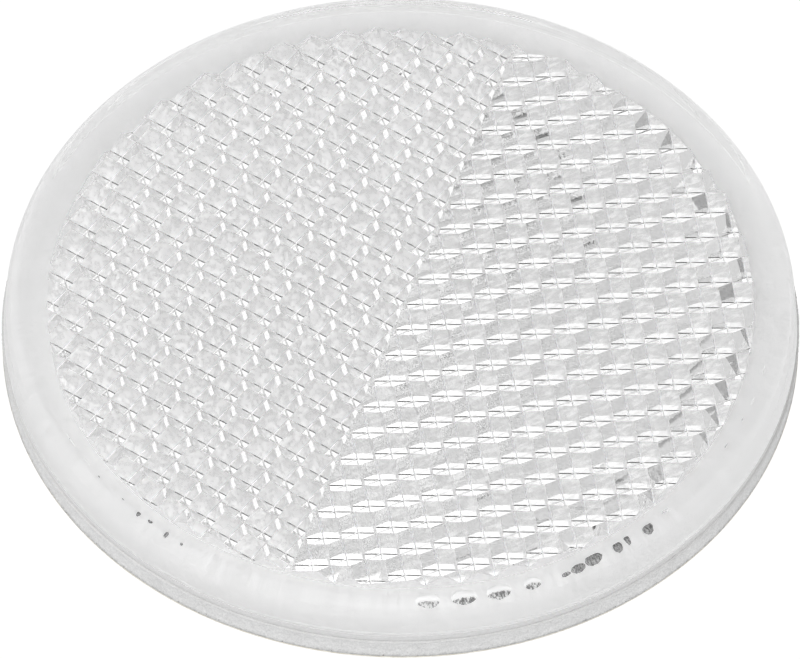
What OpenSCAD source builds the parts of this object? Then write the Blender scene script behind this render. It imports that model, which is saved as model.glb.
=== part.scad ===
// Round stick-on prism reflector: a clear moulded lens with a two-way field of
// cube-corner prisms behind its flat face, closed by a welded back cover, on a
// foam adhesive pad with a slit release liner.
// Millimetres. Z = 0 is the underside of the liner, +Z leaves the viewing face,
// and the seam between the two prism fields runs along Y. The fields are laid
// out as mirror images across the seam, each with its own pitch.

/* [Lens] */
// Diameter of the lens at the bottom of its skirt
lens_d = 59.44; // [50:0.01:80]
// Height of the lens moulding, skirt to face
lens_h = 3.10; // [3.10:0.05:5.0]
// Draft of the skirt, as the loss of radius up to the rounded edge
skirt_draft = 0.22; // [0:0.01:0.5]
// Radius that rounds the front edge into the face
edge_r = 1.20; // [0.4:0.05:1.5]
// Thickness of clear plastic between the face and the prisms' highest corners
front_wall = 0.95; // [0.8:0.01:0.98]
// Diameter of the prism field
field_d = 52.80; // [40:0.1:54]

/* [Prisms] */
// Distance between neighbouring prisms on the +X side, centre to centre
right_pitch = 2.562; // [2.2:0.002:2.562]
// Distance between neighbouring prisms on the -X side, centre to centre
left_pitch = 2.520; // [2.2:0.002:2.562]
// How far the pattern is shifted along the seam
row_shift = 0.51; // [-1.3:0.01:1.3]
// How far the seam lies from the middle of the lens
seam_shift = 0.47; // [-1.0:0.01:1.0]

/* [Back cover] */
// Thickness of the cover plate
cover_t = 0.62; // [0.5:0.01:1.5]
// Middle radius of the weld rib that locates the lens
rib_r = 28.80; // [27.5:0.05:29.0]
// Width of the weld rib
rib_w = 0.60; // [0.4:0.05:1.0]
// Height of the weld rib
rib_h = 0.12; // [0.05:0.01:0.3]

/* [Adhesive pad] */
// Diameter of the die-cut pad and its liner
pad_d = 59.84; // [50:0.01:80]
// Thickness of the foam
foam_t = 1.56; // [0.8:0.01:3]
// Thickness of each adhesive film
film_t = 0.06; // [0.03:0.01:0.15]
// Thickness of the release liner
liner_t = 0.10; // [0.05:0.01:0.2]
// Distance of the liner's peeling slit from the middle
slit_y = 9.0; // [3:0.5:20]
// Width of the slit
slit_w = 0.08; // [0.05:0.01:0.5]

/* [Hidden] */
$fn = 96;

rib_gap = 0.03;       // clearance around the weld rib in its seat
cover_chamfer = 0.10; // on the cover's lower edge
chamber_rise = 0.15;  // chamber ceiling above the prisms' highest corners
root_rise = 0.30;     // prism roots above the same corners, inside the wall
cut_over = 1;         // how far cutting shapes reach past what they cut

// Levels, from the liner up
z_wall_film = liner_t;
z_foam = z_wall_film + film_t;
z_cover_film = z_foam + foam_t;
z_cover = z_cover_film + film_t;
z_lens = z_cover + cover_t;
z_face = z_lens + lens_h;
z_high = z_face - front_wall; // highest corners of the prisms

lens_r = lens_d / 2;
field_r = field_d / 2;
rib_inner_r = rib_r - rib_w / 2;
rib_outer_r = rib_r + rib_w / 2;

// ---- Prism fields ----

// One prism is the corner of a cube standing on its point. Seen along Z it is
// a hexagon whose own corners lie cell_r from the point. The cube's edges leave
// the point and reach the hexagon's corners at 0, 120 and 240 degrees one step
// up; the corners between them lie two steps up.
function cell_r(pitch) = pitch / sqrt(3);
function step(pitch) = cell_r(pitch) / sqrt(2);

// The prisms stand on a triangular grid with spacing cell_r. A place on it is
// [steps away from the seam, steps at 60 degrees to the first]. Every third
// place is the point of a prism.
origin_to_seam = 0.75; // distances from the seam, in cell_r
seam_reach = 1;        // a prism this far past the seam can't reach back over it
rim_reach = 0.98;      // a prism is kept up to this far outside the field's rim
grid_margin = 1.25;    // factor by which the searched grid exceeds the field
grid_n = ceil(grid_margin * field_r / cell_r(min(left_pitch, right_pitch)));

// Distance of a place from the seam, in cell_r
function seam_steps(place) = place[0] + place[1] / 2 + origin_to_seam;
function grid_point(pitch, place, z) =
    [cell_r(pitch) * seam_steps(place), cell_r(pitch) * place[1] * sin(60), z];

// Offsets of a hexagon's corners on that grid, anticlockwise from +X
corner = [[1, 0], [0, 1], [-1, 1], [-1, 0], [0, -1], [1, -1]];

// Distance of a place from the lens axis; side is 1 for the +X field, -1 for -X
function axis_dist(pitch, side, place) =
    let (point = grid_point(pitch, place, 0))
    norm([seam_shift + side * point[0], row_shift + point[1]]);

// Places of the prisms of one field
function field_cells(pitch, side) = [
    for (v = [-grid_n:grid_n], u = [-grid_n * 2:grid_n * 2])
        if ((u - v) % 3 == 0
            && seam_steps([u, v]) > -seam_reach
            && axis_dist(pitch, side, [u, v]) < field_r + cell_r(pitch) * rim_reach)
            [u, v]
];
function has(cells, place) = len([for (cell = cells) if (cell == place) 1]) > 0;

// Points of one prism: its own point, the six corners, the six root corners
cell_points = 13;
first_corner = 1;
first_root = 7;
function prism_points(pitch, cell) =
    let (z_point = z_high - 2 * step(pitch))
    concat(
        [grid_point(pitch, cell, z_point)],
        [for (i = [0:5])
            grid_point(pitch, cell + corner[i], z_point + step(pitch) * (1 + i % 2))],
        [for (i = [0:5]) grid_point(pitch, cell + corner[i], z_high + root_rise)]);

// Faces of prism n: three squares below, a flat root, and an upright wall
// wherever it has no neighbour
function prism_faces(cells, n) =
    let (tip = cell_points * n, low = tip + first_corner, root = tip + first_root)
    concat(
        [for (i = [0, 2, 4]) [tip, low + i, low + (i + 1) % 6, low + (i + 2) % 6]],
        [[for (i = [5:-1:0]) root + i]],
        [for (i = [0:5])
            let (j = (i + 1) % 6, neighbour = cells[n] + corner[i] + corner[j])
            if (!has(cells, neighbour)) [low + j, low + i, root + i, root + j]]);

// One field as a closed block, before it is cut at the seam
module prism_block(pitch, side) {
    cells = field_cells(pitch, side);
    polyhedron(
        points = [for (cell = cells) each prism_points(pitch, cell)],
        faces = [for (n = [0:len(cells) - 1]) each prism_faces(cells, n)],
        convexity = 10);
}

// One field in its place, on its own side of the seam
module prism_field(pitch, side) {
    translate([seam_shift, row_shift, 0])
    mirror([side > 0 ? 0 : 1, 0, 0])
    intersection() {
        prism_block(pitch, side);
        translate([0, -lens_d, 0]) cube([lens_d, 2 * lens_d, z_face]);
    }
}

// ---- Lens and cover ----

// Half section of the lens without its prisms
module lens_section() {
    skirt_top_r = lens_r - skirt_draft;
    face_r = skirt_top_r - edge_r;
    z_edge = z_face - edge_r;
    z_chamber = z_high + chamber_rise;
    // skirt and face
    polygon([[field_r, z_lens], [lens_r, z_lens],
             [skirt_top_r, z_edge], [face_r, z_edge],
             [face_r, z_face], [0, z_face],
             [0, z_chamber], [field_r, z_chamber]]);
    // rounded front edge
    intersection() {
        translate([face_r, z_edge]) circle(r = edge_r);
        translate([face_r, z_edge]) square([edge_r + cut_over, edge_r + cut_over]);
    }
}

// Ring cut from the skirt as a seat for the cover's weld rib
module rib_seat() {
    translate([0, 0, z_lens - cut_over]) difference() {
        cylinder(r = rib_outer_r + rib_gap, h = cut_over + rib_h + rib_gap);
        translate([0, 0, -cut_over])
            cylinder(r = rib_inner_r - rib_gap, h = 3 * cut_over + rib_h);
    }
}

// Clear lens with its prisms moulded in one piece
module prism_lens() {
    color("whitesmoke", alpha = 0.6)
    difference() {
        union() {
            rotate_extrude() lens_section();
            prism_field(right_pitch, 1);
            prism_field(left_pitch, -1);
        }
        rib_seat();
    }
}

// White plate that closes the prism chamber, welded to the lens skirt
module back_cover() {
    z_rib_top = z_lens + rib_h;
    color("gainsboro")
    rotate_extrude()
    polygon([[0, z_cover], [lens_r - cover_chamfer, z_cover],
             [lens_r, z_cover + cover_chamfer], [lens_r, z_lens],
             [rib_outer_r, z_lens], [rib_outer_r, z_rib_top],
             [rib_inner_r, z_rib_top], [rib_inner_r, z_lens],
             [0, z_lens]]);
}

// ---- Adhesive pad ----

// A plain die-cut disc
module disc(z, t) {
    translate([0, 0, z]) cylinder(d = pad_d, h = t);
}

// Adhesive film between foam and cover
module cover_adhesive() { color("ghostwhite", alpha = 0.7) disc(z_cover_film, film_t); }

// Closed-cell foam that takes up an uneven wall
module foam_pad() { color("lightgrey") disc(z_foam, foam_t); }

// Adhesive film that sticks to the wall
module wall_adhesive() { color("ghostwhite", alpha = 0.7) disc(z_wall_film, film_t); }

// Piece of the release liner on the +Y (side = 1) or -Y (side = -1) of the slit
module liner_piece(side) {
    cut_size = 2 * pad_d;
    slit_edge = slit_y + side * slit_w / 2;
    intersection() {
        disc(0, liner_t);
        translate([-pad_d, side > 0 ? slit_edge : slit_edge - cut_size, -cut_over])
            cube([cut_size, cut_size, 3 * cut_over]);
    }
}
module liner_large() { color("khaki") liner_piece(-1); }
module liner_small() { color("wheat") liner_piece(1); }

prism_lens();
back_cover();
cover_adhesive();
foam_pad();
wall_adhesive();
liner_large();
liner_small();
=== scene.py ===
# Round stick-on reflector. A clear lens moulded with cube-corner prisms on its underside sits on
# a white back cover, with an adhesive film, a foam pad, a second film and a two-piece release
# liner. It lies flat, centred on the Z axis, its clear face up (+Z). Sizes are in millimetres.
import bpy
import bmesh
import math
import numpy as np
from mathutils import Vector, Matrix, noise


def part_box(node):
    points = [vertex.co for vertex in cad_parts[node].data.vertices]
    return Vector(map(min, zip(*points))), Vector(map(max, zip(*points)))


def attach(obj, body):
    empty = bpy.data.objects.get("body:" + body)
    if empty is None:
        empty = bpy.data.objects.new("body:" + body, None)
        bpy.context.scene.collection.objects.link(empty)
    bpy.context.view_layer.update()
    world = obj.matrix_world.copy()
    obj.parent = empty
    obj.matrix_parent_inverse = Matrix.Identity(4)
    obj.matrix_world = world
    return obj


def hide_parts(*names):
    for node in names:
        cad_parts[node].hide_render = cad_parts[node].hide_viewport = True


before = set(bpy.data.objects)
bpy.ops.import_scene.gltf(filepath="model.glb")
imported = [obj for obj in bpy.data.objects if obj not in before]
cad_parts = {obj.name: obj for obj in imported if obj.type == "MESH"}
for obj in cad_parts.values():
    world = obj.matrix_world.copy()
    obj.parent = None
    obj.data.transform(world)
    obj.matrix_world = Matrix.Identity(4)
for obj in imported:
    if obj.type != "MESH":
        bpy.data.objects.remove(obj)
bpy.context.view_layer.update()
MM = 0.001


def z_range(piece):
    """Bottom and top of a CAD piece."""
    low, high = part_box(piece)
    return low.z / MM, high.z / MM


# ---------------------------------------------------------------- driving sizes
Z_LENS, Z_FACE = z_range("prism_lens")
Z_COVER = z_range("back_cover")[0]
Z_FOAM = z_range("foam_pad")
Z_COVER_FILM = z_range("cover_adhesive")
Z_WALL_FILM = z_range("wall_adhesive")
Z_LARGE_LINER = z_range("liner_large")
Z_SMALL_LINER = z_range("liner_small")

LENS_R = 29.72
PAD_R = 29.92
FIELD_R = 26.40          # radius of the prism field
DRAFT = 0.22             # the lens wall leans in by this much towards its face
EDGE_R = 1.20            # rounding of the face's outer edge
FRONT = 0.95             # clear thickness over the highest prism edges
Z_HIGH = Z_FACE - FRONT  # highest prism edges
Z_ROOT = Z_HIGH + 0.30   # flat top of the prism blocks, buried in the lens
SEAM_X = 0.47            # the two prism lattices meet here
LATTICE_Y = 0.51         # shift of the prism rows along Y
LENS_SEGMENTS = 360
COVER_SEGMENTS = 720


# ---------------------------------------------------------------- mesh helpers
def new_object(name, verts, faces):
    """Object from vertices in millimetres."""
    mesh = bpy.data.meshes.new(name)
    mesh.from_pydata([tuple(float(c) * MM for c in v) for v in verts], [], faces)
    mesh.validate()
    mesh.update()
    ob = bpy.data.objects.new(name, mesh)
    bpy.context.scene.collection.objects.link(ob)
    return ob


def install(ob, piece, group="reflector"):
    """Put ob in place of a CAD piece, and attach it to its moving group."""
    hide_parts(piece)
    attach(ob, group)


def shade_smooth(mesh):
    mesh.polygons.foreach_set("use_smooth", [True] * len(mesh.polygons))


def axis_distance(point):
    """Distance in millimetres from the Z axis of a point in metres."""
    return math.hypot(point.x, point.y) / MM


def circle(n):
    angles = [2 * math.pi * k / n for k in range(n)]
    return [(math.cos(a), math.sin(a)) for a in angles]


def bridge(a, b):
    """Faces between two rings of vertex indices; a ring of one index is a point."""
    if len(a) == 1 and len(b) == 1:
        return []
    faces = []
    n = max(len(a), len(b))
    for k in range(n):
        j = (k + 1) % n
        if len(a) == 1:
            faces.append((a[0], b[j], b[k]))
        elif len(b) == 1:
            faces.append((a[k], a[j], b[0]))
        else:
            faces.append((a[k], a[j], b[j], b[k]))
    return faces


def revolve(name, profile, n):
    """Closed solid of revolution from (r, z) points listed anticlockwise in the r-z plane."""
    verts, rings = [], []
    for r, z in profile:
        start = len(verts)
        if r < 1e-9:
            verts.append((0, 0, z))
        else:
            verts += [(r * x, r * y, z) for x, y in circle(n)]
        rings.append(list(range(start, len(verts))))
    faces = []
    for a, b in zip(rings, rings[1:] + rings[:1]):
        faces += bridge(a, b)
    return new_object(name, verts, faces)


def arc_points(r, z, radius, start, end, n):
    """n + 1 profile points on an arc about (r, z), from start to end in degrees."""
    angles = [math.radians(start + (end - start) * k / n) for k in range(n + 1)]
    return [(r + radius * math.cos(a), z + radius * math.sin(a)) for a in angles]


def boolean(target, tool, operation):
    """Apply the tool to the target's mesh and remove the tool."""
    modifier = target.modifiers.new("b", "BOOLEAN")
    modifier.operation = operation
    modifier.solver = "MANIFOLD"
    modifier.object = tool
    bpy.context.view_layer.update()
    graph = bpy.context.evaluated_depsgraph_get()
    mesh = bpy.data.meshes.new_from_object(target.evaluated_get(graph))
    target.modifiers.clear()
    old = target.data
    target.data = mesh
    bpy.data.meshes.remove(old)
    bpy.data.objects.remove(tool)


# ---------------------------------------------------------------- prism lattice
class PrismLattice:
    """Cube-corner prisms on one side of the seam. Local points have the seam at x = 0 and the
    prisms at x > 0; side -1 is mirrored. Offsets are measured in plan from a prism's axis."""

    def __init__(self, side, pitch, rounding):
        self.side = side
        self.pitch = pitch
        self.rounding = rounding                # radius on the cube's edges
        self.cell = pitch / math.sqrt(3)        # centre to corner of a prism's hexagon
        self.cube = self.cell * math.sqrt(1.5)  # edge length of the cube
        self.z_point = Z_HIGH - 2 * self.cell / math.sqrt(2)
        angles = np.radians([0.0, 120.0, 240.0])
        self.axes = np.stack([np.cos(angles), np.sin(angles)], 1)

    def centre(self, u, v):
        """Local place of lattice point (u, v)."""
        return (self.cell * (u + v / 2 + 0.75), self.cell * v * math.sin(math.radians(60)))

    def cube_coords(self, offset, height):
        """Coordinates along the cube's three edges."""
        return (offset @ self.axes.T) * math.sqrt(2 / 3) + (height / math.sqrt(3))[..., None]

    def height(self, offset):
        """Surface height over the prism's sharp point, with rounded edges, by bisection."""
        plan = self.cube_coords(offset, np.zeros(len(offset)))
        low = -math.sqrt(3) * plan.min(-1)
        high = low + math.sqrt(3) * self.rounding + 1e-9
        for _ in range(45):
            middle = (low + high) / 2
            coords = plan + (middle / math.sqrt(3))[..., None]
            reach = np.linalg.norm(np.minimum(coords - self.rounding, 0), axis=-1)
            inside = reach - self.rounding > 0
            low = np.where(inside, middle, low)
            high = np.where(inside, high, middle)
        return (low + high) / 2

    def normal(self, offset):
        """Outward local normal of the rounded prism surface."""
        coords = self.cube_coords(offset, self.height(offset))
        n = unit(np.minimum(coords - self.rounding, 0))
        xy = n @ (self.axes * math.sqrt(2 / 3))
        return np.concatenate([xy, n.sum(-1, keepdims=True) / math.sqrt(3)], -1)

    def to_frame(self, x, y):
        return SEAM_X + self.side * x, LATTICE_Y + y

    def from_frame(self, x, y):
        return self.side * (x - SEAM_X), y - LATTICE_Y

    def nearest(self, x, y):
        """Nearest prism axis to each local point; odd columns are shifted by half a pitch."""
        found = []
        for odd in (0, 1):
            x0 = self.cell * 0.75 + odd * self.cell * 1.5
            y0 = odd * self.pitch / 2
            column = self.cell * 3.0
            axis_x = x0 + np.round((x - x0) / column) * column
            axis_y = y0 + np.round((y - y0) / self.pitch) * self.pitch
            found.append((axis_x, axis_y, np.hypot(x - axis_x, y - axis_y)))
        (even_x, even_y, even_gap), (odd_x, odd_y, odd_gap) = found
        closer = odd_gap < even_gap
        return np.where(closer, odd_x, even_x), np.where(closer, odd_y, even_y)


def unit(vectors):
    return vectors / np.linalg.norm(vectors, axis=-1, keepdims=True)


LATTICES = [PrismLattice(side=1, pitch=2.562, rounding=0.080),
            PrismLattice(side=-1, pitch=2.520, rounding=0.098)]

# Lattice steps (u, v) from a prism's centre to its corners, anticlockwise from +X.
# Two neighbouring steps add up to the step to the next prism across that side.
CORNER_STEPS = [(1, 0), (0, 1), (-1, 1), (-1, 0), (0, -1), (1, -1)]


def prism_cells(lattice):
    """Lattice points that carry a prism, reaching a little past the field and the seam."""
    n = math.ceil(1.2 * FIELD_R / lattice.cell)
    cells = []
    for v in range(-n, n + 1):
        for u in range(-2 * n, 2 * n + 1):
            x, y = lattice.centre(u, v)
            reach = math.hypot(*lattice.to_frame(x, y))
            if (u - v) % 3 == 0 and x > -lattice.cell and reach < FIELD_R + lattice.cell * 0.98:
                cells.append((u, v))
    return cells


def prism_block(lattice):
    """Closed block of prisms: rounded cube corners below, a flat root above."""
    cells = prism_cells(lattice)
    occupied = set(cells)
    # stations along a cube edge, close together over the rounding
    stations = [lattice.rounding * (math.sin(a) - math.cos(a))
                for a in np.radians([45, 60, 75, 90])]
    stations += [lattice.cube * 0.5, lattice.cube]
    m = len(stations)
    axes = lattice.axes
    offsets = np.array([(a * axes[k] + b * axes[(k + 1) % 3]) * math.sqrt(2 / 3)
                        for k in range(3) for a in stations for b in stations])
    heights = lattice.z_point + lattice.height(offsets)
    index, verts, faces = {}, [], []

    def vertex(x, y, z, level):
        """Index of a vertex, shared by neighbouring prisms."""
        key = (round(x, 4), round(y, 4), level)
        if key not in index:
            index[key] = len(verts)
            verts.append((*lattice.to_frame(x, y), z))
        return index[key]

    def add_face(ids):
        """Add a face without its repeated vertices."""
        ring = [v for i, v in enumerate(ids) if i == 0 or v != ids[i - 1]]
        if ring[0] == ring[-1]:
            ring.pop()
        if len(ring) >= 3:
            faces.append(tuple(ring if lattice.side > 0 else reversed(ring)))

    for u, v in cells:
        cx, cy = lattice.centre(u, v)
        low = [vertex(cx + d[0], cy + d[1], z, "low") for d, z in zip(offsets, heights)]
        # three rhombic faces, each a grid of m by m vertices
        grids = np.reshape(low, (3, m, m)).tolist()
        for grid in grids:
            for i in range(m - 1):
                for j in range(m - 1):
                    add_face([grid[i][j], grid[i][j + 1], grid[i + 1][j + 1], grid[i + 1][j]])
        top = []
        for i in range(6):
            a = math.radians(60 * i)
            x, y = cx + lattice.cell * math.cos(a), cy + lattice.cell * math.sin(a)
            top.append(vertex(x, y, Z_ROOT, "top"))
        add_face(top)
        # walls where there is no neighbouring prism
        for i in range(6):
            j = (i + 1) % 6
            (u1, v1), (u2, v2) = CORNER_STEPS[i], CORNER_STEPS[j]
            if (u + u1 + u2, v + v1 + v2) in occupied:
                continue
            grid = grids[i // 2]
            line = grid[-1] if i % 2 == 0 else [row[-1] for row in grid][::-1]
            add_face(line + [top[j], top[i]])
    block = new_object("prism_block", verts, faces)
    boolean(block, half_space(lattice.side), "INTERSECT")
    return block


def half_space(side):
    """Large box that covers one side of the seam."""
    size = 80.0
    x_ends = (SEAM_X, SEAM_X + size) if side > 0 else (SEAM_X - size, SEAM_X)
    verts = [(x, y, z) for x in x_ends for y in (-size, size) for z in (-10, 20)]
    faces = [(0, 1, 3, 2), (4, 6, 7, 5), (0, 4, 5, 1), (2, 3, 7, 6), (0, 2, 6, 4), (1, 5, 7, 3)]
    return new_object("half", verts, faces)


# ---------------------------------------------------------------- prism lens
# material slots of the lens
CLEAR, WELD, CRAZED, FROSTED = range(4)

BOTTOM_R = 0.06                            # rounding of the lower outer edge
GROOVE_INNER, GROOVE_OUTER = 28.97, 29.31  # ring groove in the underside
GROOVE_DEPTH = 0.03                        # its walls slope at 45 degrees
WALL_TOP_R = LENS_R - DRAFT
Z_WALL_TOP = Z_FACE - EDGE_R


def lens_profile():
    z_field = Z_HIGH + 0.15  # between the prisms' high edges and their root
    z_groove = Z_LENS + GROOVE_DEPTH
    return [
        (0, z_field), (FIELD_R, z_field), (FIELD_R, Z_LENS),
        (GROOVE_INNER, Z_LENS), (GROOVE_INNER + GROOVE_DEPTH, z_groove),
        (GROOVE_OUTER - GROOVE_DEPTH, z_groove), (GROOVE_OUTER, Z_LENS),
        *arc_points(LENS_R - BOTTOM_R, Z_LENS + BOTTOM_R, BOTTOM_R, -90, 0, 4),
        *arc_points(WALL_TOP_R - EDGE_R, Z_WALL_TOP, EDGE_R, 0, 90, 20),
        (WALL_TOP_R - EDGE_R - 0.2, Z_FACE), (0, Z_FACE)]


# Shrink voids in the thick ring of the moulding: distance from the axis, angle in degrees,
# length round the ring, radial width, thickness, and the material slot of the wall
VOID_Z = Z_LENS + 1.20
VOIDS = [
    (27.62, -67.4, 1.80, 0.60, 0.30, FROSTED), (27.62, -62.1, 2.00, 0.62, 0.30, FROSTED),
    (27.64, -56.8, 1.90, 0.62, 0.30, FROSTED), (27.66, -51.6, 1.30, 0.50, 0.26, FROSTED),
    (27.78, -46.3, 0.70, 0.14, 0.16, CRAZED), (27.74, -44.2, 1.15, 0.34, 0.22, CRAZED),
    (27.68, -41.4, 1.35, 0.42, 0.26, CRAZED), (27.72, -37.1, 0.75, 0.40, 0.22, CRAZED),
    (27.66, -35.2, 0.42, 0.40, 0.20, CRAZED), (27.76, -31.4, 0.85, 0.38, 0.22, CRAZED),
    (27.62, -27.2, 0.70, 0.26, 0.20, CLEAR), (27.60, -11.4, 0.55, 0.16, 0.18, CLEAR),
    (27.60, -5.6, 0.55, 0.16, 0.18, CLEAR),
    (27.70, -132.6, 1.40, 0.14, 0.14, FROSTED), (27.70, -127.8, 0.85, 0.13, 0.13, FROSTED),
    (27.71, 4.5, 0.90, 0.10, 0.12, FROSTED), (27.71, -1.8, 0.70, 0.10, 0.12, FROSTED),
    (27.75, -124.3, 0.24, 0.10, 0.10, CRAZED), (27.70, -118.6, 0.28, 0.10, 0.10, CRAZED),
    (27.72, -115.0, 0.34, 0.22, 0.12, CRAZED), (27.70, -112.7, 0.42, 0.10, 0.10, CRAZED),
    (27.72, -109.3, 0.32, 0.22, 0.12, CRAZED), (27.72, -106.4, 0.26, 0.10, 0.10, CRAZED)]


def add_voids(ob):
    """Add inward-facing closed blobs inside the solid; returns (first face, end, slot) of each."""
    bm = bmesh.new()
    bm.from_mesh(ob.data)
    spans = []
    for k, (r, angle, length, width, thickness, slot) in enumerate(VOIDS):
        start = len(bm.faces)
        blob = bmesh.ops.create_icosphere(bm, subdivisions=3, radius=1.0)["verts"]
        a = math.radians(angle)
        outward = Vector((math.cos(a), math.sin(a), 0))
        along = Vector((-math.sin(a), math.cos(a), 0))
        for v in blob:
            p = v.co.copy()
            swell = 1 + 0.16 * noise.noise(p * 1.7 + Vector((k * 3.1, 0, 0)))
            if slot == CRAZED:
                swell += 0.12 * noise.noise(p * 5.0 + Vector((0, k * 2.3, 0)))
            x = p.x * swell * length / 2
            y = p.y * swell * width / 2
            z = p.z * swell * thickness / 2
            # half-moon: flatter towards the axis, round towards the rim
            if y < 0:
                y *= 0.55
            v.co = (outward * (r + y) + along * x + Vector((0, 0, VOID_Z + z))) * MM
        bm.faces.ensure_lookup_table()
        bmesh.ops.reverse_faces(bm, faces=bm.faces[start:])
        spans.append((start, len(bm.faces), slot))
    bm.to_mesh(ob.data)
    bm.free()
    return spans


def read_array(items, attribute, width=3, kind=float):
    """Values of a mesh attribute, one row per item if width is 3."""
    values = np.empty(len(items) * width, kind)
    items.foreach_get(attribute, values)
    return values.reshape(-1, 3) if width == 3 else values


def set_lens_normals(mesh):
    """Exact normals on the rounded and turned surfaces, flat ones on the rest."""
    shade_smooth(mesh)
    corner_vertex = read_array(mesh.loops, "vertex_index", 1, int)
    face_size = read_array(mesh.polygons, "loop_total", 1, int)
    corner_face = np.repeat(np.arange(len(mesh.polygons)), face_size)
    # one row per face corner: its point, its face's normal and its face's centre
    point = (read_array(mesh.vertices, "co") / MM)[corner_vertex]
    flat = read_array(mesh.polygons, "normal")[corner_face]
    centre = (read_array(mesh.polygons, "center") / MM)[corner_face]
    count = len(point)
    edge_r = WALL_TOP_R - EDGE_R
    centre_r = np.hypot(centre[:, 0], centre[:, 1])
    point_r = np.hypot(point[:, 0], point[:, 1])
    radial = point[:, :2] / np.maximum(point_r, 1e-9)[:, None]
    normals = flat.copy()

    on_edge = (centre_r > edge_r - 1e-3) & (centre[:, 2] > Z_WALL_TOP) & (flat[:, 2] < 0.9999)
    rounded = np.column_stack([(point_r - edge_r)[:, None] * radial, point[:, 2] - Z_WALL_TOP])
    normals[on_edge] = rounded[on_edge]

    on_wall = ((centre_r > edge_r) & (centre[:, 2] <= Z_WALL_TOP)
               & (centre[:, 2] > Z_LENS + BOTTOM_R) & (abs(flat[:, 2]) < 0.3)
               & ((flat[:, :2] * radial).sum(1) > 0))
    slope = DRAFT / (Z_WALL_TOP - Z_LENS)
    normals[on_wall] = np.column_stack([radial, np.full(count, slope)])[on_wall]

    on_field_wall = (abs(centre_r - FIELD_R) < 0.03) & (abs(flat[:, 2]) < 0.01)
    normals[on_field_wall] = np.column_stack([-radial, np.zeros(count)])[on_field_wall]

    for lattice in LATTICES:
        on_prism = ((lattice.side * (centre[:, 0] - SEAM_X) > 0) & (centre_r < FIELD_R)
                    & (centre[:, 2] < Z_HIGH + 0.05) & (flat[:, 2] < -0.2))
        x, y = lattice.from_frame(point[on_prism, 0], point[on_prism, 1])
        axis_x, axis_y = lattice.nearest(
            *lattice.from_frame(centre[on_prism, 0], centre[on_prism, 1]))
        exact = lattice.normal(np.stack([x - axis_x, y - axis_y], 1))
        exact[:, 0] *= lattice.side
        agrees = (exact * flat[on_prism]).sum(1) > 0.8
        normals[np.nonzero(on_prism)[0][agrees]] = exact[agrees]
    mesh.normals_split_custom_set(unit(normals).tolist())


def make_lens():
    ob = revolve("lens_clear", lens_profile(), LENS_SEGMENTS)
    for lattice in LATTICES:
        boolean(ob, prism_block(lattice), "UNION")
    spans = add_voids(ob)
    set_lens_normals(ob.data)
    return ob, spans


# ---------------------------------------------------------------- node helpers
class Nodes:
    """Short ways to add nodes to a tree. Lengths are in millimetres."""

    def __init__(self, tree):
        self.tree = tree

    def node(self, kind, inputs=None, **props):
        """New node; an input given as a socket is linked, anything else is set."""
        new = self.tree.nodes.new("ShaderNode" + kind)
        for key, value in props.items():
            setattr(new, key, value)
        for key, value in (inputs or {}).items():
            if isinstance(value, bpy.types.NodeSocket):
                self.tree.links.new(value, new.inputs[key])
            else:
                new.inputs[key].default_value = value
        return new

    def coords(self):
        return self.node("TexCoord").outputs["Object"]

    def xyz(self, vector):
        return self.node("SeparateXYZ", {"Vector": vector}).outputs

    def axis_distance(self, vector):
        """Distance from the Z axis, in metres."""
        axes = self.xyz(vector)
        squares = self.add(self.mul(axes["X"], axes["X"]), self.mul(axes["Y"], axes["Y"]))
        return self.math("SQRT", squares, 0.0)

    def noise(self, vector, size, detail=3.0, rough=0.55):
        """Noise whose grains are about size across."""
        return self.node("TexNoise", {"Vector": vector, "Scale": 1000.0 / size,
                                      "Detail": detail, "Roughness": rough}).outputs["Fac"]

    def stretch(self, vector, turn, squeeze):
        """Coordinates turned about Z, then squeezed along Y."""
        return self.node("Mapping", {"Vector": vector, "Rotation": (0, 0, turn),
                                     "Scale": (1.0, squeeze, 1.0)}).outputs[0]

    def remap(self, value, span, to, smooth=False):
        """Map the range span of a value to the range to."""
        return self.node("MapRange", {"Value": value, "From Min": span[0], "From Max": span[1],
                                      "To Min": to[0], "To Max": to[1]},
                         interpolation_type="SMOOTHSTEP" if smooth else "LINEAR"
                         ).outputs["Result"]

    def math(self, operation, a, b):
        return self.node("Math", {0: a, 1: b}, operation=operation).outputs[0]

    def add(self, a, b):
        return self.math("ADD", a, b)

    def mul(self, a, b):
        return self.math("MULTIPLY", a, b)

    def mix(self, factor, a, b):
        """Mix of two colours; sockets 6 and 7, and output 2, are the colour ones."""
        a, b = ((*c, 1) if isinstance(c, tuple) else c for c in (a, b))
        return self.node("Mix", {"Factor": factor, 6: a, 7: b}, data_type="RGBA").outputs[2]

    def bump(self, height, strength, depth):
        return self.node("Bump", {"Height": height, "Strength": strength,
                                  "Distance": depth * MM}).outputs[0]

    def principled(self, colour, roughness, **inputs):
        """Principled shader; further inputs are named with _ for a space."""
        named = {key.replace("_", " "): value for key, value in inputs.items()}
        return self.node("BsdfPrincipled", {"Base Color": colour, "Roughness": roughness,
                                            **named}).outputs[0]


class Material(Nodes):
    def __init__(self, name):
        self.material = bpy.data.materials.new(name)
        self.material.use_nodes = True
        super().__init__(self.material.node_tree)
        self.tree.nodes.clear()

    def finish(self, shader):
        self.node("OutputMaterial", {"Surface": shader})
        return self.material


WHITE = (1, 1, 1, 1)


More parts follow.
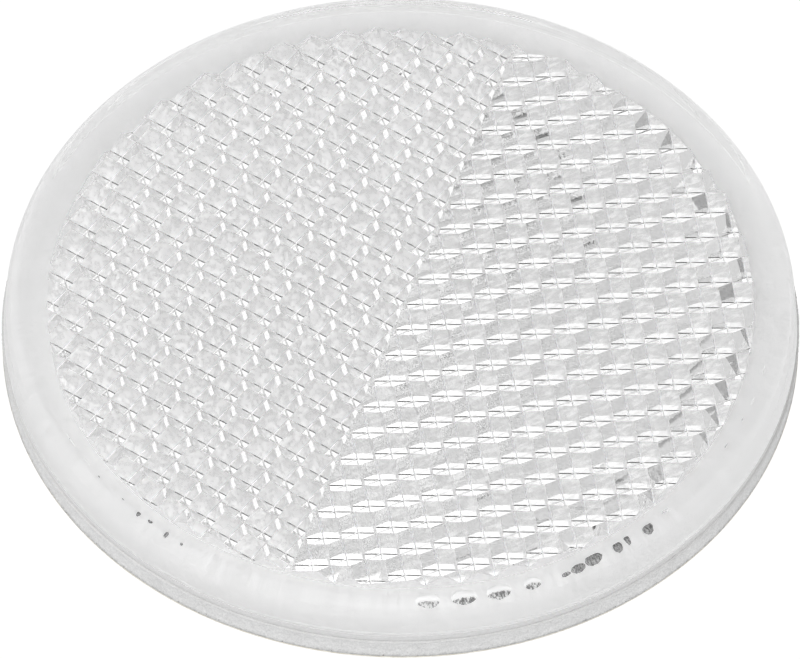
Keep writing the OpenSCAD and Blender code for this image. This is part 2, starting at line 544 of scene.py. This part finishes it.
# ---------------------------------------------------------------- materials
def acrylic():
    """Clear moulded acrylic: a slightly wavy surface with faint wipe marks in its gloss."""
    wave_depth, tool_depth = 0.0026, 0.0020
    clarity, haze_depth = 0.985, 0.035
    m = Material("clear_acrylic")
    co = m.coords()
    on_prisms = m.remap(m.xyz(co)["Z"], span=((Z_HIGH + 0.05) * MM, (Z_HIGH + 0.25) * MM),
                        to=(1.0, 0.0))
    # broad sink waves everywhere, finer tool marks on the prism faces only
    tool = m.mul(m.noise(co, size=0.42, detail=2.0, rough=0.5), tool_depth / wave_depth)
    wave = m.add(m.noise(co, size=1.5, detail=2.0), m.mul(tool, on_prisms))
    marks = m.noise(m.stretch(co, turn=0.5, squeeze=9.0), size=0.9, detail=4.0, rough=0.65)
    # a fine haze on the moulded prism faces
    haze = m.remap(m.noise(co, size=0.34, detail=2.0, rough=0.6), span=(0.36, 0.64),
                   to=(clarity - haze_depth, clarity))
    colour = m.add(m.mul(haze, on_prisms),
                   m.mul(m.math("SUBTRACT", 1.0, on_prisms), clarity))
    glass = m.node("BsdfGlass", {
        "IOR": 1.49, "Color": colour,
        "Roughness": m.remap(marks, span=(0.60, 0.80), to=(0.0, 0.035)),
        "Normal": m.bump(wave, strength=1.0, depth=wave_depth)})
    return m.finish(glass.outputs[0])


def white_plastic(name, albedo, mottle, rough, grain_size, painted_glow=0.0, spread=0.0, painted_rim_glow=0.0):
    """Moulded white plastic with a fine eroded texture. The glow setting adds painted light, an
    emission that brightens it, uneven by spread; the rim setting adds more of it towards the rim."""
    m = Material(name)
    co = m.coords()
    grain = m.noise(co, size=grain_size, detail=4.0, rough=0.6)
    flow = m.noise(co, size=6.0, detail=2.0)
    tone = m.remap(grain, span=(0.32, 0.68),
                   to=(albedo * (1 - mottle), min(0.985, albedo * (1 + mottle))))
    tone = m.mul(tone, m.remap(flow, span=(0.3, 0.7), to=(0.985, 1.01)))
    light = 0.0
    # painted light: an emission on plastic that gives off no light of its own
    if painted_glow:
        peak = m.remap(m.noise(co, size=grain_size * 1.3, detail=2.0, rough=0.5),
                       span=(0.46, 0.66), to=(1 - spread * 0.45, 1 + spread))
        light = m.mul(peak, painted_glow)
        if painted_rim_glow:
            light = m.add(light, m.remap(m.axis_distance(co), span=(27.6 * MM, 29.4 * MM),
                                         to=(0.0, painted_rim_glow), smooth=True))
    return m.finish(m.principled(
        tone, m.remap(grain, span=(0.3, 0.7), to=(rough - 0.08, rough + 0.08)),
        Normal=m.bump(grain, strength=0.6, depth=0.012),
        Emission_Color=WHITE, Emission_Strength=light))


def foam_material():
    """Closed-cell foam, cut through its cells, with dark specks and a slightly darker tone towards
    the bottom of the edge.
    """
    albedo = 0.66
    m = Material("white_foam")
    co = m.coords()
    bubbles = m.node("TexVoronoi", {"Vector": co, "Scale": 1000.0 / 0.17},
                     feature="F1").outputs["Distance"]
    grain = m.noise(co, size=0.11, detail=3.0, rough=0.7)
    patch = m.noise(co, size=1.4, detail=2.0)
    low = m.remap(m.xyz(co)["Z"], span=(Z_FOAM[0] * MM, (Z_FOAM[0] + 0.35) * MM),
                  to=(1.0, 0.0), smooth=True)
    tone = m.remap(grain, span=(0.25, 0.75), to=(albedo * 0.86, albedo * 1.12))
    tone = m.mul(tone, m.remap(bubbles, span=(0.05, 0.6), to=(0.93, 1.04)))
    tone = m.mul(tone, m.remap(patch, span=(0.3, 0.7), to=(0.96, 1.03)))
    tone = m.mul(tone, m.remap(low, span=(0.0, 1.0), to=(1.0, 0.90)))
    dust = m.noise(co, size=0.20, detail=2.0, rough=0.5)
    threshold = m.remap(low, span=(0.0, 1.0), to=(0.80, 0.66))
    speck = m.remap(dust, span=(threshold, m.add(threshold, 0.03)), to=(0.0, 0.75))
    return m.finish(m.principled(
        m.mix(speck, tone, (0.16, 0.15, 0.14)), 0.88, Specular_IOR_Level=0.25,
        Normal=m.bump(m.add(grain, bubbles), strength=0.8, depth=0.03)))


def film_material(name, albedo, dust_threshold):
    """Milky acrylic adhesive: glossy, a little rippled, its edge picking up dust."""
    m = Material(name)
    co = m.coords()
    waves = m.noise(co, size=0.8, detail=3.0)
    fine = m.noise(co, size=0.13, detail=3.0, rough=0.65)
    tone = m.remap(waves, span=(0.3, 0.7), to=(albedo * 0.95, albedo * 1.04))
    tone = m.mul(tone, m.remap(fine, span=(0.3, 0.7), to=(0.93, 1.05)))
    speck = m.remap(fine, span=(dust_threshold, dust_threshold + 0.05), to=(0.0, 0.8))
    milky = m.mix(0.06, tone, (albedo, albedo * 0.97, albedo * 0.86))
    return m.finish(m.principled(
        m.mix(speck, milky, (0.10, 0.09, 0.08)),
        m.remap(fine, span=(0.3, 0.7), to=(0.14, 0.32)),
        Normal=m.bump(waves, strength=0.5, depth=0.02), Coat_Weight=0.3, Coat_Roughness=0.1))


def liner_material():
    """Cream silicone-coated paper: crossing fibres under a thin satin coat."""
    m = Material("liner_paper")
    co = m.coords()
    layers = [m.noise(m.stretch(co, turn, squeeze), size=1.3, detail=5.0, rough=0.6)
              for turn, squeeze in ((0.3, 7.0), (1.7, 6.0), (2.6, 8.0))]
    fibre = m.mul(m.add(m.add(layers[0], layers[1]), layers[2]), 1 / 3)
    cloud = m.noise(co, size=4.5, detail=3.0)
    colour = m.mix(m.remap(fibre, span=(0.40, 0.60), to=(0.0, 1.0)),
                   (0.60, 0.56, 0.47), (0.80, 0.775, 0.70))
    colour = m.mix(m.remap(cloud, span=(0.35, 0.65), to=(0.0, 0.30)),
                   colour, (0.84, 0.82, 0.76))
    return m.finish(m.principled(
        colour, m.remap(fibre, span=(0.4, 0.6), to=(0.55, 0.40)),
        Normal=m.bump(fibre, strength=0.7, depth=0.02), Coat_Weight=0.15, Coat_Roughness=0.25))


def void_material():
    """The crazed, cloudy wall of a shrink void."""
    m = Material("void_wall")
    grain = m.noise(m.coords(), size=0.10, detail=4.0, rough=0.7)
    return m.finish(m.principled(m.remap(grain, span=(0.38, 0.62), to=(0.10, 0.62)), 0.7))


def frost_material():
    """A frosted void, brightened by a painted glow, its outer foot darkened with painted shadow.
    """
    m = Material("void_frost")
    co = m.coords()
    ragged = m.add(m.axis_distance(co),
                   m.mul(m.noise(co, size=0.22, detail=3.0, rough=0.6), 0.16 * MM))
    foot = m.remap(ragged, span=(27.80 * MM, 27.87 * MM), to=(0.0, 1.0))
    foot = m.mul(foot, m.remap(m.noise(co, size=0.14, detail=2.0), span=(0.42, 0.58),
                               to=(0.35, 1.0)))
    # painted shadow (dark colour) at the foot, painted glow (emission) on the rest
    return m.finish(m.principled(
        m.mix(foot, (0.96, 0.96, 0.96), (0.20, 0.20, 0.20)), 0.5, Emission_Color=WHITE,
        Emission_Strength=m.remap(foot, span=(0.0, 1.0), to=(0.30, 0.0))))


def floor_material():
    """Pale matt sweep; it lights the object a little less than it shows to the camera."""
    m = Material("floor")
    soft = m.noise(m.coords(), size=60.0, detail=2.0)
    seen = m.node("LightPath").outputs["Is Camera Ray"]
    matt = m.principled(
        m.remap(soft, span=(0.3, 0.7), to=(0.095, 0.105)), 0.9, Specular_IOR_Level=0.0,
        Emission_Color=WHITE, Emission_Strength=m.remap(seen, span=(0.0, 1.0), to=(0.65, 0.95)))
    # clear from below, so that the underside can be looked at
    clear = m.node("BsdfTransparent").outputs[0]
    below = m.node("NewGeometry").outputs["Backfacing"]
    return m.finish(m.node("MixShader", {"Fac": below, 1: matt, 2: clear}).outputs[0])


# ---------------------------------------------------------------- lens in place
lens, void_spans = make_lens()
lens.data.materials.clear()
# in the order CLEAR, WELD, CRAZED, FROSTED
lens.data.materials.append(acrylic())
# the weld face's glow is painted light, made stronger towards the rim
lens.data.materials.append(white_plastic(
    "weld_face", albedo=0.95, mottle=0.05, rough=0.6, grain_size=0.22,
    painted_glow=0.20, spread=0.22, painted_rim_glow=0.10))
lens.data.materials.append(void_material())
lens.data.materials.append(frost_material())
for face in lens.data.polygons:
    in_ring = axis_distance(face.center) > FIELD_R + 0.05
    at_bottom = face.center.z / MM < Z_LENS + 0.05 and face.normal.z < -0.5
    face.material_index = WELD if in_ring and at_bottom else CLEAR
for start, end, slot in void_spans:
    for i in range(start, end):
        lens.data.polygons[i].material_index = slot
install(lens, "prism_lens")


# ---------------------------------------------------------------- back cover
def cover_profile():
    top = Z_LENS - 0.005
    bottom_r, top_r = 0.10, 0.05
    # parting line of the mould, a low ridge round the edge
    z_ridge = (Z_COVER + top) / 2 + 0.06
    ridge_r = LENS_R + 0.018
    foot, crest = 0.035, 0.010  # half heights of the ridge at its foot and crest
    return [
        (0, Z_COVER), (LENS_R - 3.0, Z_COVER),
        *arc_points(LENS_R - bottom_r, Z_COVER + bottom_r, bottom_r, -90, 0, 5),
        (LENS_R, z_ridge - foot), (ridge_r, z_ridge - crest),
        (ridge_r, z_ridge + crest), (LENS_R, z_ridge + foot),
        *arc_points(LENS_R - top_r, top - top_r, top_r, 0, 90, 3),
        (FIELD_R + 0.3, top), (FIELD_R, top), (0, top)]


cover = revolve("cover_plate", cover_profile(), COVER_SEGMENTS)
# painted light: the cover's top glows with an emission
cover.data.materials.append(white_plastic(
    "white_plastic", albedo=0.92, mottle=0.08, rough=0.5, grain_size=0.22,
    painted_glow=0.31, spread=0.55))
# a darker copy of the same white plastic, painted shade on the cover's outer wall
cover.data.materials.append(white_plastic(
    "white_plastic_edge_painted_shade", albedo=0.61, mottle=0.05, rough=0.45, grain_size=0.25))
# the outer edge takes the darker copy, which is painted shade
for face in cover.data.polygons:
    face.material_index = 1 if axis_distance(face.center) > LENS_R - 0.2 else 0
install(cover, "back_cover")


# ---------------------------------------------------------------- foam pad and films
def edge_disc(name, rows, radius):
    """Closed disc; radius[j, i] is the rim's distance from the axis at height rows[j]."""
    n = radius.shape[1]
    around = circle(n)
    verts, faces = [], []

    def add_ring(radii, z):
        start = len(verts)
        verts.extend((r * x, r * y, z) for r, (x, y) in zip(radii, around))
        return list(range(start, start + n))

    rim = [add_ring(radii, z) for radii, z in zip(radius, rows)]
    for a, b in zip(rim, rim[1:]):
        faces += bridge(a, b)
    # bottom cap, facing down, then top cap
    for j, order in ((0, -1), (-1, 1)):
        rings = [rim[j]] + [add_ring([r] * n, rows[j]) for r in (PAD_R - 1.2, PAD_R * 0.5)]
        rings.append([len(verts)])
        verts.append((0, 0, rows[j]))
        for a, b in zip(rings, rings[1:]):
            faces += [face[::order] for face in bridge(a, b)]
    return new_object(name, verts, faces)


def pits(arc, z, cell, period):
    """Depth, 0 to 1, of foam bubbles cut open at the edge: hollows on a jittered grid."""
    columns = int(round(period / cell))
    width = period / columns
    bottom, top = z.min() - cell, z.max() + cell
    layers = int(math.ceil((top - bottom) / cell)) + 1
    shape = (columns, layers)
    jitter_arc = rng.random(shape)
    jitter_z = rng.random(shape)
    size = 0.45 + 0.40 * rng.random(shape)
    depth = 0.35 + 0.65 * rng.random(shape)
    arc_grid, z_grid = np.meshgrid(arc, z, indexing="ij")
    column = np.floor(arc_grid / width).astype(int)
    layer = np.floor((z_grid - bottom) / cell).astype(int)
    deepest = np.zeros(arc_grid.shape)
    for i in (-1, 0, 1):
        for j in (-1, 0, 1):
            near = ((column + i) % columns, np.clip(layer + j, 0, layers - 1))
            pit_arc = (column + i + jitter_arc[near]) * width
            pit_z = bottom + (layer + j + jitter_z[near]) * cell
            d = np.hypot(arc_grid - pit_arc, z_grid - pit_z) / (size[near] * cell)
            hollow = depth[near] * np.sqrt(np.clip(1 - d * d, 0, 1))
            deepest = np.maximum(deepest, hollow)
    return deepest


def cut_wobble(n, waves):
    """Smooth closed wobble of a cut edge; waves are the numbers of waves round it."""
    angle = np.linspace(0, 2 * math.pi, n, endpoint=False)
    out = np.zeros(n)
    for wave in waves:
        phase = rng.random() * 2 * math.pi
        out += np.sin(angle * wave + phase) * (0.5 + rng.random()) / len(waves)
    return out * 0.03


PAD_INSET = 0.05   # mean inset of the cut edges from PAD_R
LAYER_GAP = 0.001  # the layers stop this far short of each other
FOAM_SEGMENTS, FOAM_ROWS = 2200, 19
FILM_SEGMENTS = 1440
rng = np.random.default_rng(7)


def make_foam():
    perimeter = 2 * math.pi * PAD_R
    rows = np.linspace(Z_FOAM[0] + LAYER_GAP, Z_FOAM[1] - LAYER_GAP, FOAM_ROWS)
    arc = np.arange(FOAM_SEGMENTS) * (perimeter / FOAM_SEGMENTS)
    hollow = pits(arc, rows, cell=0.26, period=perimeter).T
    wobble = cut_wobble(FOAM_SEGMENTS, (3, 5, 11, 23))
    # drawn in most at mid height
    waist = 0.05 * np.sin(np.linspace(0, math.pi, FOAM_ROWS))[:, None]
    radius = PAD_R - 0.04 + wobble[None, :] - waist - 0.11 * hollow
    radius[0] = radius[-1] = PAD_R - PAD_INSET + wobble
    return edge_disc("foam_disc", rows, radius)


def make_film(name, z_ends):
    bottom, top = z_ends[0] + LAYER_GAP, z_ends[1] - LAYER_GAP
    rows = [bottom, bottom + 0.015, (bottom + top) / 2, top - 0.015, top]
    bulge = np.array([-0.02, 0.0, 0.015, 0.0, -0.02])[:, None]  # one value per row
    wobble = cut_wobble(FILM_SEGMENTS, (4, 9, 17, 41, 83))
    wobble = wobble + 0.012 * rng.standard_normal(FILM_SEGMENTS)
    return edge_disc(name, rows, PAD_R - PAD_INSET + wobble[None, :] + bulge)


foam = make_foam()
foam.data.materials.append(foam_material())
shade_smooth(foam.data)
install(foam, "foam_pad")

# place, bottom and top, albedo, dust threshold
for place, z_ends, albedo, dust in (("cover", Z_COVER_FILM, 0.62, 0.78),
                                    ("wall", Z_WALL_FILM, 0.45, 0.62)):
    film = make_film("film_" + place, z_ends)
    film.data.materials.append(film_material("adhesive_" + place, albedo, dust))
    shade_smooth(film.data)
    install(film, place + "_adhesive")

# ---------------------------------------------------------------- release liner
SLIT_Y, SLIT_W = 9.0, 0.08
LINER_ROUND = 0.022  # rounding of the cut edges


def liner_outline(small, inset):
    """Anticlockwise outline drawn in by inset; the small piece is on the +Y side of the slit."""
    r = PAD_R - 0.02 - inset
    y = SLIT_Y + (SLIT_W / 2 + inset) * (1 if small else -1)
    a = math.asin(y / r)
    n = 240 if small else 480
    start, end = (a, math.pi - a) if small else (math.pi - a, 2 * math.pi + a)
    angles = [start + (end - start) * k / n for k in range(n + 1)]
    points = [(r * math.cos(t), r * math.sin(t)) for t in angles]
    x_end, x_start = points[0][0], points[-1][0]
    steps = 120  # along the slit
    points += [(x_start + (x_end - x_start) * k / steps, y) for k in range(1, steps)]
    return points


def make_liner(name, small, z_ends):
    """Flat paper with rounded cut edges."""
    bottom, top = z_ends
    c = LINER_ROUND
    # inset and height of each ring of the edge
    levels = [(0.9, bottom), (c, bottom), (c * 0.3, bottom + c * 0.3), (0, bottom + c),
              (0, top - c), (c * 0.3, top - c * 0.3), (c, top), (0.9, top)]
    verts, faces, rings = [], [], []
    for inset, z in levels:
        start = len(verts)
        verts += [(x, y, z) for x, y in liner_outline(small, inset)]
        rings.append(list(range(start, len(verts))))
    for a, b in zip(rings, rings[1:]):
        faces += bridge(a, b)
    faces.append(tuple(rings[0][::-1]))
    faces.append(tuple(rings[-1]))
    return new_object(name, verts, faces)


paper = liner_material()
for size, z_ends in (("small", Z_SMALL_LINER), ("large", Z_LARGE_LINER)):
    liner = make_liner(f"liner_{size}_sheet", size == "small", z_ends)
    liner.data.materials.append(paper)
    install(liner, "liner_" + size, size + "_liner")

# ---------------------------------------------------------------- floor
FLOOR_HALF = 3000.0
floor = new_object("floor", [(-FLOOR_HALF, -FLOOR_HALF, 0), (FLOOR_HALF, -FLOOR_HALF, 0),
                             (FLOOR_HALF, FLOOR_HALF, 0), (-FLOOR_HALF, FLOOR_HALF, 0)],
                   [(0, 1, 2, 3)])
# low enough for the liner pieces to come away from the pad above it
floor.location.z = -31.2 * MM
floor.data.materials.append(floor_material())

# ---------------------------------------------------------------- studio light
CAMERA_AZIMUTH = math.radians(18.1)  # from -Y towards +X
BASE_RADIANCE = 1.22
# Soft round areas mixed over the base in turn: azimuth from the camera, elevation,
# inner and outer angle, all in degrees, and radiance
LOBES = [(160, 38, 26, 50, 0.03),
         (0, 40, 8, 22, 2.6),
         (75, 14, 10, 26, 0.80),
         (75, 3, 4, 9, 0.34),
         (-98, 55, 12, 26, 1.45)]

scene = bpy.context.scene


def make_world():
    world = bpy.data.worlds.new("w")
    scene.world = world
    world.use_nodes = True
    w = Nodes(world.node_tree)
    direction = w.node("TexCoord").outputs["Generated"]
    value = w.node("Value")
    value.outputs[0].default_value = BASE_RADIANCE
    radiance = value.outputs[0]
    c, s = math.cos(CAMERA_AZIMUTH), math.sin(CAMERA_AZIMUTH)
    for azimuth, elevation, inner, outer, level in LOBES:
        az, el = math.radians(azimuth), math.radians(elevation)
        x, y = math.sin(az) * math.cos(el), -math.cos(az) * math.cos(el)
        centre = (x * c - y * s, x * s + y * c, math.sin(el))
        dot = w.node("VectorMath", {0: direction, 1: centre}, operation="DOT_PRODUCT")
        inside = w.remap(dot.outputs["Value"], to=(0.0, 1.0), smooth=True,
                         span=(math.cos(math.radians(outer)), math.cos(math.radians(inner))))
        radiance = w.node("Mix", {"Factor": inside, "A": radiance, "B": level},
                          data_type="FLOAT").outputs["Result"]
    background = w.tree.nodes["Background"]
    w.tree.links.new(radiance, background.inputs["Strength"])
    background.inputs["Color"].default_value = WHITE


make_world()

# ---------------------------------------------------------------- camera
ELEVATION, ROLL = math.radians(51.5), math.radians(0.45)
DISTANCE = 540.0
SHIFT_RIGHT, SHIFT_UP = -0.03, 0.4286  # camera offset in its own plane


def make_camera():
    sin_az, cos_az = math.sin(CAMERA_AZIMUTH), math.cos(CAMERA_AZIMUTH)
    back = Vector((sin_az * math.cos(ELEVATION), -cos_az * math.cos(ELEVATION),
                   math.sin(ELEVATION)))
    level_right = Vector((cos_az, sin_az, 0))
    level_up = back.cross(level_right)
    right = math.cos(ROLL) * level_right + math.sin(ROLL) * level_up
    up = -math.sin(ROLL) * level_right + math.cos(ROLL) * level_up
    data = bpy.data.cameras.new("cam")
    camera = bpy.data.objects.new("cam", data)
    scene.collection.objects.link(camera)
    camera.matrix_world = Matrix((right, up, back)).transposed().to_4x4()
    camera.location = (SHIFT_RIGHT * MM * right + SHIFT_UP * MM * up + DISTANCE * MM * back)
    data.sensor_fit = "HORIZONTAL"
    data.sensor_width = 36
    data.lens = 323.19
    data.clip_start = 0.01
    data.clip_end = 20
    scene.camera = camera


make_camera()

# ---------------------------------------------------------------- render settings
scene.view_settings.view_transform = "Standard"
scene.view_settings.look = "None"
scene.cycles.max_bounces = 32
scene.cycles.transmission_bounces = 32
scene.cycles.glossy_bounces = 16
scene.cycles.diffuse_bounces = 6
scene.cycles.transparent_max_bounces = 16
scene.cycles.caustics_refractive = True
scene.cycles.caustics_reflective = True
scene.cycles.use_denoising = True
